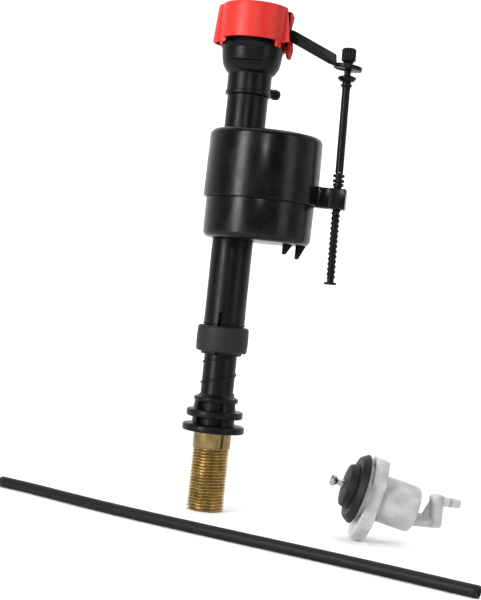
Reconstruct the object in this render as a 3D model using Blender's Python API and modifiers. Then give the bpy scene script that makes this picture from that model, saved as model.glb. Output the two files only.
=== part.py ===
"""Toilet fill valve with an eccentric float cup, its loose refill tube and its refill adaptor.

The valve stands upright on +Z. The origin is on the riser axis at the underside of the tank flange,
where the tank wall sits. The float rod lies on the +X side and -Y is the front. Metres throughout.
"""

from math import atan2, cos, degrees, pi, radians, sin, sqrt, tan

import bmesh
import bpy
from mathutils import Matrix, Vector

MM = 0.001
GAP = 0.3 * MM              # clearance between pieces that touch or seat
ROUND = 36                  # sides of a large turned piece
ROUND_SMALL = 18            # sides of a slim turned piece

# Shank and tank flange (7/8 in. shank)
SHANK_LENGTH = 47 * MM
SHANK_R = 11.11 * MM
SHANK_BAND_R = 11.3 * MM
SHANK_BAND = 9.8 * MM
SHANK_BORE_R = 5.75 * MM
SPIGOT_R = 9 * MM
SPIGOT_TOP = 12 * MM
RING_GROOVE_Z = 8 * MM
RING_GROOVE_H = 2 * MM
FLANGE_R = 18.5 * MM
FLANGE_T = 4.2 * MM
FLANGE_RECESS = 0.8 * MM
COLLAR_R = 16.8 * MM
COLLAR_Z = (8.6 * MM, 12.8 * MM)
CROWN_R = 13.4 * MM
CROWN_Z = (17.8 * MM, 20.4 * MM)
HUB_R = 10.6 * MM
WALL_R = 13.2 * MM
WINDOWS = 3                 # openings round the foot, in each of its two storeys
WINDOW_SWEEP = radians(74)
WINDOW_START = radians(-133)

# Telescoping tube with its spiral ridge
TUBE_R = 9.75 * MM
TUBE_BORE_R = 7.75 * MM
TUBE_TOP = 168 * MM
RIDGE = 0.8 * MM
RIDGE_PITCH = 12.25 * MM
RIDGE_Z = (22.1 * MM, 156 * MM)
RIDGE_STEPS = 12            # points in a turn of the ridge

# Riser and its lock ring
RISER_R = 12.125 * MM
RISER_BORE_R = TUBE_R + RIDGE + 1.5 * GAP
RISER_Z = (45.9 * MM, 200.5 * MM)
SLOT_W = 3.3 * MM
SLOT_TOP = 71.6 * MM
SLOTS = 4
LUG_H = 3 * MM
LOCK_R = RISER_R + 3.275 * MM
LOCK_Z = (47.5 * MM, 63 * MM)

# Supply pipe inside the riser, with the valve seat on top
PIPE_R = 6 * MM
PIPE_BORE_R = 4 * MM
PIPE_BOTTOM = 60 * MM
PIPE_HEAD = 7 * MM
SEAT_Z = 232 * MM
SEAT_R = 8.5 * MM

# Valve body
NECK_R = RISER_R + 0.925 * MM
NECK_Z = (200.8 * MM, 213.2 * MM)
BEAD_R = NECK_R + 0.55 * MM
BELL_R = 18.2 * MM
BELL_TOP = 230.5 * MM
RIM_R = 15 * MM
RIM_TOP = 238 * MM
CHAMBER_R = 13.2 * MM
CHAMBER_Z = 226.5 * MM
WEB_T = 2 * MM
FLOW_R = 9.6 * MM
WINDOW_W = 23.6 * MM
NIPPLE_R = 2.75 * MM
NIPPLE_END = 22.2 * MM
NIPPLE_Z = 204.9 * MM
NIPPLE_TURN = radians(46)

# Valve seal and its steel pin
SEAL_T = 2.5 * MM
SEAL_LIFT = 0.8 * MM
SEAL_PIN_R = 0.9 * MM

# Cap with its two ears and thumb lobe
CAP_R = 20.5 * MM
CAP_WALL = 2 * MM
CAP_Z = (233 * MM, 254 * MM)
EAR_GAP = 11 * MM
EAR_T = 2 * MM
REAR_SKIRT = 4 * MM         # how much lower the skirt reaches at the back
LOBE_X = 7 * MM - CAP_R
LOBE_R = (11 * MM, 9 * MM)
LOBE_WALL = 1.6 * MM
BAYONET_W = 8 * MM

# Float cup, off-centre on the riser
FLOAT_R = 34 * MM
FLOAT_X = FLOAT_R - RISER_R - 7.875 * MM    # off-centre, its near wall this far from the riser
FLOAT_WALL = 1.8 * MM
FLOAT_LOWER_R = FLOAT_R - FLOAT_WALL
FLOAT_Z = (115 * MM, 139 * MM, 179 * MM)
FLOAT_ROUND = 3.5 * MM
GUIDE_R = RISER_R + 1.075 * MM
GUIDE_WALL = 1.5 * MM
CLIP_Z = (138.4 * MM, 150.6 * MM)
CLIP_X = FLOAT_X + FLOAT_R + 11.7 * MM
CLIP_W = 9.8 * MM
CLIP_D = 10 * MM
CLIP_HOLE_R = 3.5 * MM

# Float rod, which stands in the clip and leans a little towards the riser at its top
ROD_BOTTOM = 94 * MM
ROD_X = CLIP_X + 0.8 * MM
ROD_LEAN = radians(1.28)
ROD_NECK_R = 2 * MM
ROD_R = 2.75 * MM
THREAD_R = 2.6 * MM
KNOB_R = 4.5 * MM
SWIVEL_R = 5.5 * MM
THREAD_TOP = 157.4 * MM

# Float lever, as long as it takes for its eye to meet the rod
PIVOT = (CAP_R - 3 * MM, 240.8 * MM)
LEVER_DROOP = radians(25)
LEVER_LENGTH = (ROD_X - PIVOT[0] - tan(ROD_LEAN) * (PIVOT[1] - ROD_BOTTOM)) / (
    cos(LEVER_DROOP) - tan(ROD_LEAN) * sin(LEVER_DROOP))
LEVER_H = 7 * MM
LEVER_T = 2.5 * MM
FINGER_H = 3 * MM
AXLE_R = 1.5 * MM
EYE_R = 8.5 * MM
EYE_T = 2.6 * MM
EYE_TILT = radians(20)
EYE_Z = PIVOT[1] - LEVER_LENGTH * sin(LEVER_DROOP)
KNOB_Z = (EYE_Z + 1.7 * MM, EYE_Z + 11.4 * MM)
SWIVEL_Z = (EYE_Z - 8.1 * MM, EYE_Z - 4.9 * MM)

# Loose refill adaptor, lying on the floor at the level of the shank's end
FLOOR = -SHANK_LENGTH
ADAPTOR_AT = (102.5 * MM, -32.4 * MM, -22 * MM)
ADAPTOR_TURN = radians(13.4)
ADAPTOR_DROP = radians(13.3)
CUP_R = 13.2 * MM
CUP_L = 22.5 * MM
CUP_WALL = 1.8 * MM
RIM_H = 46.6 * MM           # the flange is an upright plate with its corners cut off
RIM_W = 30 * MM
RIM_CORNER = (9 * MM, 11.6 * MM)
RIM_DISC_T = 8 * MM
RIM_DISC_OFF = -2.3 * MM
STEP_R = 16 * MM
STEP_T = 2.4 * MM
ELBOW_R = 3.9 * MM
ELBOW_TILT = radians(13.5)
ELBOW_HEIGHT = 15 * MM
BARB_R = 2.7 * MM
BARB_L = 9.8 * MM
BORE_R = 1.6 * MM
RUBBER_OFF = 1.1 * MM
RUBBER_R = 20.1 * MM
BOSS_R = 13 * MM
STEM_R = 2.3 * MM
STEM_HEAD_R = 3.2 * MM

# Loose refill tube, 1/4 in. outside, lying on the same floor
REFILL_R = 3.175 * MM
REFILL_ROUTE = [(-122, -15), (-101, -25), (-75, -39.5), (-47.5, -54.5), (-16, -69.5), (15.5, -83.5),
                (44, -95.7), (72.5, -107.5), (99, -119), (124, -130.5), (148, -142), (160, -147.5)]
REFILL_POINTS = 24


# ---------------------------------------------------------------- helpers

def clear_scene():
    for thing in list(bpy.data.objects):
        bpy.data.objects.remove(thing, do_unlink=True)


def collection(name):
    group = bpy.data.collections.new(name)
    bpy.context.scene.collection.children.link(group)
    return group


def material(name, colour, roughness, metallic=0.0):
    made = bpy.data.materials.new(name)
    made.use_nodes = True
    shader = made.node_tree.nodes["Principled BSDF"]
    shader.inputs["Base Color"].default_value = (*colour, 1)
    shader.inputs["Roughness"].default_value = roughness
    shader.inputs["Metallic"].default_value = metallic
    return made


def put(thing, group, finish=None):
    for old in list(thing.users_collection):
        old.objects.unlink(thing)
    group.objects.link(thing)
    if finish:
        thing.data.materials.append(finish)
    return thing


def hide_cutter(thing):
    put(thing, CUTTERS)
    thing.hide_render = True
    thing.display_type = "WIRE"
    return thing


def smooth(thing, angle=35):
    thing.data.shade_smooth()
    thing.data.set_sharp_from_angle(angle=radians(angle))


def turned(name, outline, steps=ROUND, at=(0, 0, 0), finish=None):
    """A turned solid: the outline of (radius, height) runs down its outer side and back up inside."""
    mesh = bpy.data.meshes.new(name)
    shape = bmesh.new()
    points = [shape.verts.new((r, 0, z)) for r, z in outline]
    for a, b in zip(points, points[1:]):
        shape.edges.new((a, b))
    if outline[0][0] > 0:
        shape.edges.new((points[-1], points[0]))
    shape.to_mesh(mesh)
    shape.free()
    thing = bpy.data.objects.new(name, mesh)
    thing.location = at
    screw = thing.modifiers.new("Turn", "SCREW")
    screw.steps = screw.render_steps = steps
    screw.use_merge_vertices = True
    screw.merge_threshold = 0.00001
    screw.use_smooth_shade = True
    return put(thing, PARTS, finish)


def solid(name, maker, at=(0, 0, 0), turn=(0, 0, 0), **size):
    """A primitive built by a bmesh operator, such as create_cube or create_cone."""
    mesh = bpy.data.meshes.new(name)
    shape = bmesh.new()
    maker(shape, **size)
    shape.to_mesh(mesh)
    shape.free()
    thing = bpy.data.objects.new(name, mesh)
    thing.location = at
    thing.rotation_euler = turn
    return put(thing, PARTS)


def box(name, low, high, turn=0.0):
    """A box between two corners, turned about the Z axis of the world."""
    low, high = Vector(low), Vector(high)
    fit = Matrix.Rotation(turn, 4, "Z") @ Matrix.Translation((low + high) / 2)
    fit = fit @ Matrix.Diagonal((*(high - low), 1))
    return solid(name, bmesh.ops.create_cube, size=1, matrix=fit)


def round_bar(name, radius, start, end, sides=ROUND_SMALL, end_radius=None):
    """A cylinder or cone from start to end."""
    start, end = Vector(start), Vector(end)
    along = end - start
    lie = Matrix.Translation((start + end) / 2) @ along.to_track_quat("Z", "Y").to_matrix().to_4x4()
    return solid(name, bmesh.ops.create_cone, cap_ends=True, segments=sides, radius1=radius,
                 radius2=radius if end_radius is None else end_radius, depth=along.length, matrix=lie)


def plate(name, outline, low, high, turn=(0, 0, 0), at=(0, 0, 0)):
    """A flat outline of (x, z) points, extruded along Y from low to high."""
    mesh = bpy.data.meshes.new(name)
    shape = bmesh.new()
    face = shape.faces.new([shape.verts.new((x, low, z)) for x, z in outline])
    grown = bmesh.ops.extrude_face_region(shape, geom=[face])["geom"]
    moved = [v for v in grown if isinstance(v, bmesh.types.BMVert)]
    bmesh.ops.translate(shape, verts=moved, vec=(0, high - low, 0))
    bmesh.ops.recalc_face_normals(shape, faces=shape.faces)
    shape.to_mesh(mesh)
    shape.free()
    thing = bpy.data.objects.new(name, mesh)
    thing.rotation_euler = turn
    thing.location = at
    return put(thing, PARTS)


def merged(name, pieces):
    """Several separate solids as one operand of a Boolean."""
    shape = bmesh.new()
    for piece in pieces:
        copy = piece.data.copy()
        copy.transform(piece.matrix_basis)
        shape.from_mesh(copy)
        bpy.data.meshes.remove(copy)
        bpy.data.objects.remove(piece, do_unlink=True)
    mesh = bpy.data.meshes.new(name)
    shape.to_mesh(mesh)
    shape.free()
    return put(bpy.data.objects.new(name, mesh), PARTS)


def boolean(thing, tool, operation):
    hide_cutter(tool)
    step = thing.modifiers.new(tool.name, "BOOLEAN")
    step.operation = operation
    step.object = tool
    step.solver = "EXACT"
    return thing


def cut(thing, tool):
    return boolean(thing, tool, "DIFFERENCE")


def join(thing, tool):
    return boolean(thing, tool, "UNION")


def arc(centre, radius, start, stop, steps=3):
    """Points of an arc in (radius, height), from start to stop degrees."""
    turns = [radians(start + (stop - start) * i / steps) for i in range(steps + 1)]
    return [(centre[0] + radius * cos(t), centre[1] + radius * sin(t)) for t in turns]


def curve_solid(name, points, radius, resolution, group=None):
    """A closed round bar along a polyline, as a mesh."""
    wire = bpy.data.curves.new(name, "CURVE")
    wire.dimensions = "3D"
    wire.bevel_depth = radius
    wire.bevel_resolution = resolution
    wire.use_fill_caps = True
    line = wire.splines.new("POLY")
    line.points.add(len(points) - 1)
    for point, place in zip(line.points, points):
        point.co = (*place, 1)
    holder = bpy.data.objects.new(name + "_line", wire)
    (group or PARTS).objects.link(holder)
    bpy.context.view_layer.update()
    seen = holder.evaluated_get(bpy.context.evaluated_depsgraph_get())
    mesh = bpy.data.meshes.new_from_object(seen)
    mesh.name = name
    thing = bpy.data.objects.new(name, mesh)
    thing.matrix_world = holder.matrix_world
    bpy.data.objects.remove(holder, do_unlink=True)
    shape = bmesh.new()
    shape.from_mesh(mesh)
    bmesh.ops.remove_doubles(shape, verts=shape.verts, dist=0.00001)
    shape.to_mesh(mesh)
    shape.free()
    return put(thing, PARTS)


def smooth_route(corners, count):
    """Evenly counted points on a Catmull-Rom curve through the corners."""
    padded = [2 * corners[0] - corners[1], *corners, 2 * corners[-1] - corners[-2]]
    spans = len(corners) - 1
    route = []
    for i in range(count):
        place = i * spans / (count - 1)
        k = min(int(place), spans - 1)
        t = place - k
        a, b, c, d = padded[k:k + 4]
        route.append(0.5 * (2 * b + (c - a) * t + (2 * a - 5 * b + 4 * c - d) * t * t
                            + (3 * b - a - 3 * c + d) * t ** 3))
    return route


# ---------------------------------------------------------------- shank and base

def make_shank(finish):
    groove = (RING_GROOVE_Z - RING_GROOVE_H / 2, RING_GROOVE_Z + RING_GROOVE_H / 2)
    chamfer = 1 * MM
    return turned("brass_shank", [
        (SPIGOT_R, SPIGOT_TOP), (SPIGOT_R, groove[1]), (SPIGOT_R - 1.7 * MM, groove[1]),
        (SPIGOT_R - 1.7 * MM, groove[0]), (SPIGOT_R, groove[0]), (SPIGOT_R, FLANGE_RECESS - GAP),
        (SHANK_BAND_R, FLANGE_RECESS - GAP), (SHANK_BAND_R, -SHANK_BAND), (SHANK_R, -SHANK_BAND),
        (SHANK_R, -SHANK_LENGTH + chamfer), (SHANK_R - chamfer, -SHANK_LENGTH),
        (SHANK_BORE_R, -SHANK_LENGTH), (SHANK_BORE_R, SPIGOT_TOP)], finish=finish)


def make_o_ring(name, inner, outer, height, finish):
    section = (outer - inner) / 2
    ring = arc((inner + section, height), section, 90, -270, 8)[:-1]
    return turned(name, ring, ROUND_SMALL, finish=finish)


def ridge_height(turn):
    """Height of the spiral ridge at an angle about the axis, in radians from +X."""
    return RIDGE_Z[0] + RIDGE_PITCH * turn / (2 * pi)


def sector(name, inner, outer, low, high, start, sweep, steps=8):
    """Part of a ring, from an angle through a sweep."""
    mesh = bpy.data.meshes.new(name)
    shape = bmesh.new()
    face = shape.faces.new([shape.verts.new((r * cos(start), r * sin(start), z)) for r, z in (
        (inner, low), (outer, low), (outer, high), (inner, high))])
    bmesh.ops.spin(shape, geom=[face], cent=(0, 0, 0), axis=(0, 0, 1), angle=sweep, steps=steps)
    bmesh.ops.recalc_face_normals(shape, faces=shape.faces)
    shape.to_mesh(mesh)
    shape.free()
    return put(bpy.data.objects.new(name, mesh), PARTS)


def make_base(finish):
    edge = 0.6 * MM
    base = turned("base_tube", [
        (TUBE_R, TUBE_TOP), (TUBE_R, CROWN_Z[1] + 1 * MM), (TUBE_R + 0.9 * MM, CROWN_Z[1]),
        (CROWN_R - edge, CROWN_Z[1]), (CROWN_R, CROWN_Z[1] - edge), (CROWN_R, CROWN_Z[0]),
        (WALL_R - edge, CROWN_Z[0]), (WALL_R, COLLAR_Z[1]), (COLLAR_R - edge, COLLAR_Z[1]),
        (COLLAR_R, COLLAR_Z[1] - edge), (COLLAR_R, COLLAR_Z[0] + edge), (COLLAR_R - edge, COLLAR_Z[0]),
        (WALL_R, COLLAR_Z[0]), (WALL_R, FLANGE_T), (FLANGE_R - edge, FLANGE_T),
        (FLANGE_R, FLANGE_T - edge), (FLANGE_R, edge), (FLANGE_R - edge, 0), (SHANK_BAND_R + GAP, 0),
        (SHANK_BAND_R + GAP, FLANGE_RECESS), (SPIGOT_R + GAP, FLANGE_RECESS),
        (SPIGOT_R + GAP, SPIGOT_TOP + GAP), (TUBE_BORE_R, SPIGOT_TOP + GAP), (TUBE_BORE_R, TUBE_TOP)],
        finish=finish)
    storeys = ((FLANGE_T, COLLAR_Z[0]), (COLLAR_Z[1], CROWN_Z[0]))
    windows = [sector(f"window_{i}", HUB_R, WALL_R + 1 * MM, low + GAP, high - GAP,
                      WINDOW_START + 2 * pi * i / WINDOWS, WINDOW_SWEEP)
               for i in range(WINDOWS) for low, high in storeys]
    cut(base, merged("windows", windows))
    turns = (RIDGE_Z[1] - RIDGE_Z[0]) / RIDGE_PITCH
    count = int(turns * RIDGE_STEPS)
    angles = [2 * pi * i / RIDGE_STEPS for i in range(count + 1)]
    spiral = [(TUBE_R * cos(t), TUBE_R * sin(t), ridge_height(t)) for t in angles]
    join(base, curve_solid("spiral_ridge", spiral, RIDGE, 0))
    return base


# ---------------------------------------------------------------- riser, pipe and lock ring

def make_pipe(finish):
    groove = 2.3 * MM
    lip = 1.6 * MM
    low = PIPE_BOTTOM
    return turned("supply_pipe", [
        (PIPE_BORE_R + 1.4 * MM, SEAT_Z), (SEAT_R - 2.2 * MM, SEAT_Z - 1 * MM), (SEAT_R, SEAT_Z - 1 * MM),
        (SEAT_R, SEAT_Z - 1 * MM - lip), (PIPE_R, SEAT_Z - 1 * MM - lip), (PIPE_R, low + PIPE_HEAD),
        (TUBE_BORE_R - 2 * GAP, low + PIPE_HEAD - 1 * MM), (TUBE_BORE_R - 2 * GAP, low + 2 * MM + groove),
        (PIPE_R - 0.8 * MM, low + 2 * MM + groove), (PIPE_R - 0.8 * MM, low + 2 * MM),
        (TUBE_BORE_R - 2 * GAP, low + 2 * MM), (TUBE_BORE_R - 2 * GAP, low + 0.5 * MM),
        (TUBE_BORE_R - 1.1 * MM, low), (PIPE_BORE_R, low), (PIPE_BORE_R, SEAT_Z)], 32, finish=finish)


def make_riser(finish):
    bead = 0.4 * MM
    bead_z = LOCK_Z[1] + 0.8 * MM
    riser = turned("riser_tube", [
        (RISER_R, RISER_Z[1]), (RISER_R, bead_z + 1 * MM), (RISER_R + bead, bead_z + 1 * MM - bead),
        (RISER_R + bead, bead_z), (RISER_R, bead_z), (RISER_R, RISER_Z[0]), (RISER_BORE_R, RISER_Z[0]),
        (RISER_BORE_R, RISER_Z[1])], finish=finish)
    slots = []
    for i in range(SLOTS):
        turn = -pi / 2 + 2 * pi * i / SLOTS
        slots.append(box(f"slot_{i}", (RISER_BORE_R - 2 * MM, -SLOT_W / 2, RISER_Z[0] - 2 * MM),
                         (RISER_R + 2 * MM, SLOT_W / 2, SLOT_TOP - SLOT_W / 2), turn))
        out = Vector((cos(turn), sin(turn), 0))
        high = Vector((0, 0, SLOT_TOP - SLOT_W / 2))
        slots.append(round_bar(f"slot_end_{i}", SLOT_W / 2 - 0.00001, out * (RISER_BORE_R - 1.8 * MM) + high,
                               out * (RISER_R + 1.8 * MM) + high, 12))
    for piece in slots:
        cut(riser, piece)
    lug_turn = radians(45)
    for i, side in enumerate((0, 1)):
        turn = lug_turn + pi * side
        rise = ridge_height(turn) + RIDGE_PITCH / 2
        while rise < LOCK_Z[0] + LUG_H:
            rise += RIDGE_PITCH
        join(riser, box(f"thread_lug_{i}", (TUBE_R + GAP, -2 * MM, rise - LUG_H / 2),
                        (RISER_BORE_R + 0.6 * MM, 2 * MM, rise + LUG_H / 2), turn))
    return riser


def make_lock_ring(finish):
    edge = 1.6 * MM
    inner = RISER_R + GAP
    low, high = LOCK_Z
    outer = [*arc((LOCK_R - 0.3 * MM - edge, high - edge), edge, 90, 0),
             (LOCK_R, (low + high) / 2 + 2 * MM), (LOCK_R, (low + high) / 2 - 2 * MM),
             *arc((LOCK_R - 0.3 * MM - edge, low + edge), edge, 0, -90)]
    return turned("lock_ring", [*outer, (inner, low), (inner, high)], finish=finish)


# ---------------------------------------------------------------- valve body and seal

def make_valve_body(finish):
    spigot_r = RISER_BORE_R - GAP
    spigot_low = NECK_Z[0] - 8 * MM
    body = turned("valve_body", [
        (RIM_R, RIM_TOP), (RIM_R, BELL_TOP), (BELL_R, BELL_TOP), (BELL_R, 227 * MM), (17.7 * MM, 222 * MM),
        (16.7 * MM, 218 * MM), (14.9 * MM, 214.9 * MM), (NECK_R, NECK_Z[1]), (NECK_R, NECK_Z[0] + 2.4 * MM),
        (BEAD_R, NECK_Z[0] + 1.9 * MM), (BEAD_R, NECK_Z[0]), (spigot_r, NECK_Z[0]), (spigot_r, spigot_low),
        (FLOW_R, spigot_low), (FLOW_R, NECK_Z[1]), (11.3 * MM, NECK_Z[1] + 3 * MM),
        (11.3 * MM, CHAMBER_Z - WEB_T), (PIPE_R + GAP, CHAMBER_Z - WEB_T), (PIPE_R + GAP, CHAMBER_Z),
        (CHAMBER_R, CHAMBER_Z), (CHAMBER_R, RIM_TOP)], finish=finish)
    hollow_y = NECK_R + 0.25 * MM
    panel_y = 16.4 * MM
    far = BELL_R + 4 * MM
    half = WINDOW_W / 2
    for side in (-1, 1):
        near, wide = sorted((side * hollow_y, side * far))
        cut(body, box(f"hollow_{side}", (-half, near, 214.6 * MM), (half, wide, 222 * MM)))
        near, wide = sorted((side * panel_y, side * far))
        cut(body, box(f"panel_{side}", (-half, near, 221 * MM), (half, wide, BELL_TOP + 1 * MM)))
    flow = (PIPE_R + 11.3 * MM) / 2
    holes = [round_bar(f"flow_{i}", 1.5 * MM, (flow * cos(t), flow * sin(t), CHAMBER_Z - 3 * WEB_T),
                       (flow * cos(t), flow * sin(t), CHAMBER_Z + WEB_T), 10)
             for i, t in enumerate(pi / 3 * k for k in range(6))]
    cut(body, merged("flow_holes", holes))
    out = Vector((cos(NIPPLE_TURN), sin(NIPPLE_TURN), 0))
    high = Vector((0, 0, NIPPLE_Z))
    join(body, round_bar("nipple", NIPPLE_R, out * (FLOW_R + 1.5 * MM) + high, out * NIPPLE_END + high, 20))
    cut(body, round_bar("nipple_bore", BORE_R, out * (FLOW_R - 1 * MM) + high,
                        out * (NIPPLE_END + 1 * MM) + high, 12))
    lug_low, lug_high = RIM_TOP - 2 * MM, RIM_TOP - 0.1 * MM
    for side in (-1, 1):
        near, wide = sorted((side * (CHAMBER_R + 0.9 * MM), side * (CAP_R - CAP_WALL - 1 * MM)))
        join(body, box(f"body_lug_{side}", (-BAYONET_W / 2, near, lug_low), (BAYONET_W / 2, wide, lug_high)))
    return body


def make_seal(finish):
    low = SEAT_Z + GAP + SEAL_LIFT
    high = low + SEAL_T
    rim = CHAMBER_R - GAP
    return turned("valve_seal", [
        (rim, high), (rim, low + 0.6 * MM), (rim - 1.2 * MM, low + 0.6 * MM), (rim - 1.8 * MM, low + 1.2 * MM),
        (SEAT_R, low + 1.2 * MM), (SEAT_R - 0.8 * MM, low), (SEAL_PIN_R + GAP, low),
        (SEAL_PIN_R + GAP, high + 0.6 * MM), (SEAT_R - 1.5 * MM, high + 0.6 * MM), (SEAT_R - 0.5 * MM, high - 0.6 * MM),
        (rim - 2 * MM, high - 0.6 * MM), (rim - 1.4 * MM, high)], 32, finish=finish)


def make_seal_pin(finish):
    low = SEAT_Z + GAP + SEAL_LIFT
    high = low + SEAL_T + 0.6 * MM
    head = 1.7 * MM
    return turned("seal_pin", [
        (0, high + GAP + 1.6 * MM), (1.2 * MM, high + GAP + 1.6 * MM), (head, high + GAP + 1.1 * MM),
        (head, high + GAP), (SEAL_PIN_R, high + GAP), (SEAL_PIN_R, low - 3 * MM), (SEAL_PIN_R - 0.4 * MM, low - 3.6 * MM),
        (0, low - 3.6 * MM)], 16, finish=finish)


# ---------------------------------------------------------------- cap and lever

def make_cap(finish):
    low, high = CAP_Z
    inner = CAP_R - CAP_WALL
    edge = 2 * MM
    cap = turned("cap", [
        (0, high), *arc((CAP_R - edge, high - edge), edge, 90, 0, 4), (CAP_R, low), (inner, low),
        (inner, high - CAP_WALL), (0, high - CAP_WALL)], finish=finish)
    join(cap, round_bar("lobe", LOBE_R[0], (LOBE_X, 0, low), (LOBE_X, 0, high - 0.4 * MM), 32, LOBE_R[1]))
    sink = 2 * MM
    slope = (LOBE_R[0] - LOBE_R[1]) / (high - low)
    hollow = round_bar("lobe_hollow", LOBE_R[0] - LOBE_WALL + slope * sink, (LOBE_X, 0, low - sink),
                       (LOBE_X, 0, high - CAP_WALL), 32, LOBE_R[1] - LOBE_WALL)
    cut(hollow, round_bar("skirt_keep", CAP_R - 0.5 * MM, (0, 0, low - 2 * sink), (0, 0, high), ROUND))
    cut(cap, hollow)
    cut(cap, round_bar("cap_hollow", inner - 0.01 * MM, (0, 0, low - sink), (0, 0, high - CAP_WALL - 0.01 * MM),
                       ROUND))
    slot = EAR_GAP / 2
    cut(cap, box("lever_slot", (PIVOT[0] - 4 * MM, -slot, low - 1 * MM), (CAP_R + 5 * MM, slot, high + 1 * MM)))
    root = CAP_R - 5.1 * MM
    top = high - 0.9 * MM
    foot = low - 8 * MM
    brow = CAP_R - 1.1 * MM
    ear_outline = [(root, low), (CAP_R + 2.1 * MM, low), (brow, top), (root, top)]
    rear_outline = [(root, low), (CAP_R - 0.5 * MM, low), (CAP_R - 0.5 * MM, foot), (CAP_R + 1.9 * MM, foot),
                    (CAP_R + 3 * MM, low - 2 * MM), (CAP_R + 0.5 * MM, top - 8 * MM),
                    (CAP_R + 1 * MM, top - 3 * MM), (brow, top), (root, top)]
    join(cap, plate("front_ear", ear_outline, -slot - EAR_T, -slot))
    join(cap, plate("rear_ear", rear_outline, slot, slot + EAR_T))
    join(cap, sector("rear_skirt", inner + 0.1 * MM, CAP_R - 0.1 * MM, low - REAR_SKIRT, low + 1 * MM,
                     radians(18), radians(150), 16))
    join(cap, box("locking_tab", (inner + 0.1 * MM, -2 * MM, low - 3.6 * MM),
                  (CAP_R - 0.1 * MM, 2 * MM, low + 1 * MM), radians(-33)))
    for side in (-1, 1):
        near, wide = sorted((side * (RIM_R + 2 * GAP), side * (CAP_R - 0.5 * MM)))
        join(cap, box(f"cap_lug_{side}", (-BAYONET_W / 2, near, low + 0.5 * MM),
                      (BAYONET_W / 2, wide, RIM_TOP - 2 * MM - GAP)))
    cut(cap, round_bar("axle_hole", AXLE_R + GAP, (PIVOT[0], -slot - 2 * EAR_T, PIVOT[1]),
                       (PIVOT[0], slot + 2 * EAR_T, PIVOT[1]), 16))
    return cap


def make_lever(finish):
    """Drawn with its pivot at the origin and its bar along +X, then let down by its droop."""
    eye_in = EYE_R - 0.8 * MM
    half = LEVER_H / 2
    lever = plate("lever", [
        (2 * MM, half * 0.7), (6 * MM, half), (LEVER_LENGTH - EYE_R - 1.5 * MM, half),
        (LEVER_LENGTH - eye_in, -0.6 * MM), (LEVER_LENGTH - eye_in, -half + 0.6 * MM),
        (LEVER_LENGTH - EYE_R - 3 * MM, -half), (6 * MM, -half), (2 * MM, -half * 0.7)],
        -LEVER_T / 2, LEVER_T / 2)
    lever.data.materials.append(finish)
    lever.location = (PIVOT[0], 0, PIVOT[1])
    lever.rotation_euler = (0, LEVER_DROOP, 0)
    place = Matrix.Translation(lever.location) @ Matrix.Rotation(LEVER_DROOP, 4, "Y")
    tilt = Matrix.Translation((LEVER_LENGTH, 0, 0)) @ Matrix.Rotation(-EYE_TILT, 4, "Y")

    def fit(tool, frame=place):
        tool.matrix_basis = frame @ tool.matrix_basis
        return tool

    slot = EAR_GAP / 2
    join(lever, fit(round_bar("lever_hub", 3 * MM, (0, -slot + 0.5 * MM, 0), (0, slot - 0.5 * MM, 0))))
    join(lever, fit(round_bar("lever_axle", AXLE_R, (0, -slot - EAR_T + 0.2 * MM, 0),
                              (0, slot + EAR_T - 0.2 * MM, 0), 16)))
    join(lever, fit(box("finger", (-PIVOT[0] - 1.5 * MM, -2.2 * MM, -FINGER_H / 2),
                        (-1 * MM, 2.2 * MM, FINGER_H / 2))))
    join(lever, fit(round_bar("eye", EYE_R, (0, 0, -EYE_T / 2), (0, 0, EYE_T / 2), 32), place @ tilt))
    slot_r = ROD_NECK_R + 0.6 * MM
    far = 2 * EYE_T
    inward, outward = -5 * MM, 0.6 * MM
    for i, x in enumerate((inward, outward)):
        cut(lever, fit(round_bar(f"eye_end_{i}", slot_r, (x, 0, -far), (x, 0, far), 16), place @ tilt))
    cut(lever, fit(box("eye_slot", (inward, -slot_r + 0.00001, -far), (outward, slot_r - 0.00001, far)),
                   place @ tilt))
    return lever


# ---------------------------------------------------------------- rod

def rod_frame():
    """The frame in which the rod stands along Z through the origin, with heights as in the world."""
    lean = Matrix.Rotation(-ROD_LEAN, 4, "Y")
    return Matrix.Translation((ROD_X, 0, ROD_BOTTOM)) @ lean @ Matrix.Translation((0, 0, -ROD_BOTTOM))


def make_rod(finish):
    disc_r = 3.65 * MM
    collar_r = 3.3 * MM
    stop_r = 3.5 * MM
    low, high = KNOB_Z
    neck_end = SWIVEL_Z[0] - GAP
    rod = turned("level_rod", [
        (0, high), (KNOB_R - 0.5 * MM, high), (KNOB_R, high - 0.5 * MM), (KNOB_R, low + 2.7 * MM),
        (ROD_NECK_R + 0.4 * MM, low), (ROD_NECK_R, low), (ROD_NECK_R, neck_end), (ROD_R, neck_end),
        (ROD_R, neck_end - 1.3 * MM), (collar_r, neck_end - 1.8 * MM), (collar_r, neck_end - 2.8 * MM),
        (ROD_R, neck_end - 3.3 * MM), (ROD_R, THREAD_TOP + 2 * MM), (stop_r, THREAD_TOP + 1.5 * MM),
        (stop_r, THREAD_TOP + 0.5 * MM), (THREAD_R, THREAD_TOP), (THREAD_R, ROD_BOTTOM + 4 * MM),
        (ROD_NECK_R, ROD_BOTTOM + 3.4 * MM), (ROD_NECK_R, ROD_BOTTOM + 1.6 * MM), (disc_r, ROD_BOTTOM + 1.6 * MM),
        (disc_r, ROD_BOTTOM), (0, ROD_BOTTOM)], ROUND_SMALL, finish=finish)
    rod.matrix_basis = rod_frame()
    return rod


def make_swivel(finish):
    hole = ROD_NECK_R + GAP
    low, high = SWIVEL_Z
    swivel = turned("rod_swivel", [
        (hole + 1 * MM, high), (SWIVEL_R, high - 0.9 * MM), (SWIVEL_R, high - 1.7 * MM),
        (hole + 1.6 * MM, low), (hole, low), (hole, high)], ROUND_SMALL, finish=finish)
    swivel.matrix_basis = rod_frame()
    return swivel


# ---------------------------------------------------------------- float

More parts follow.
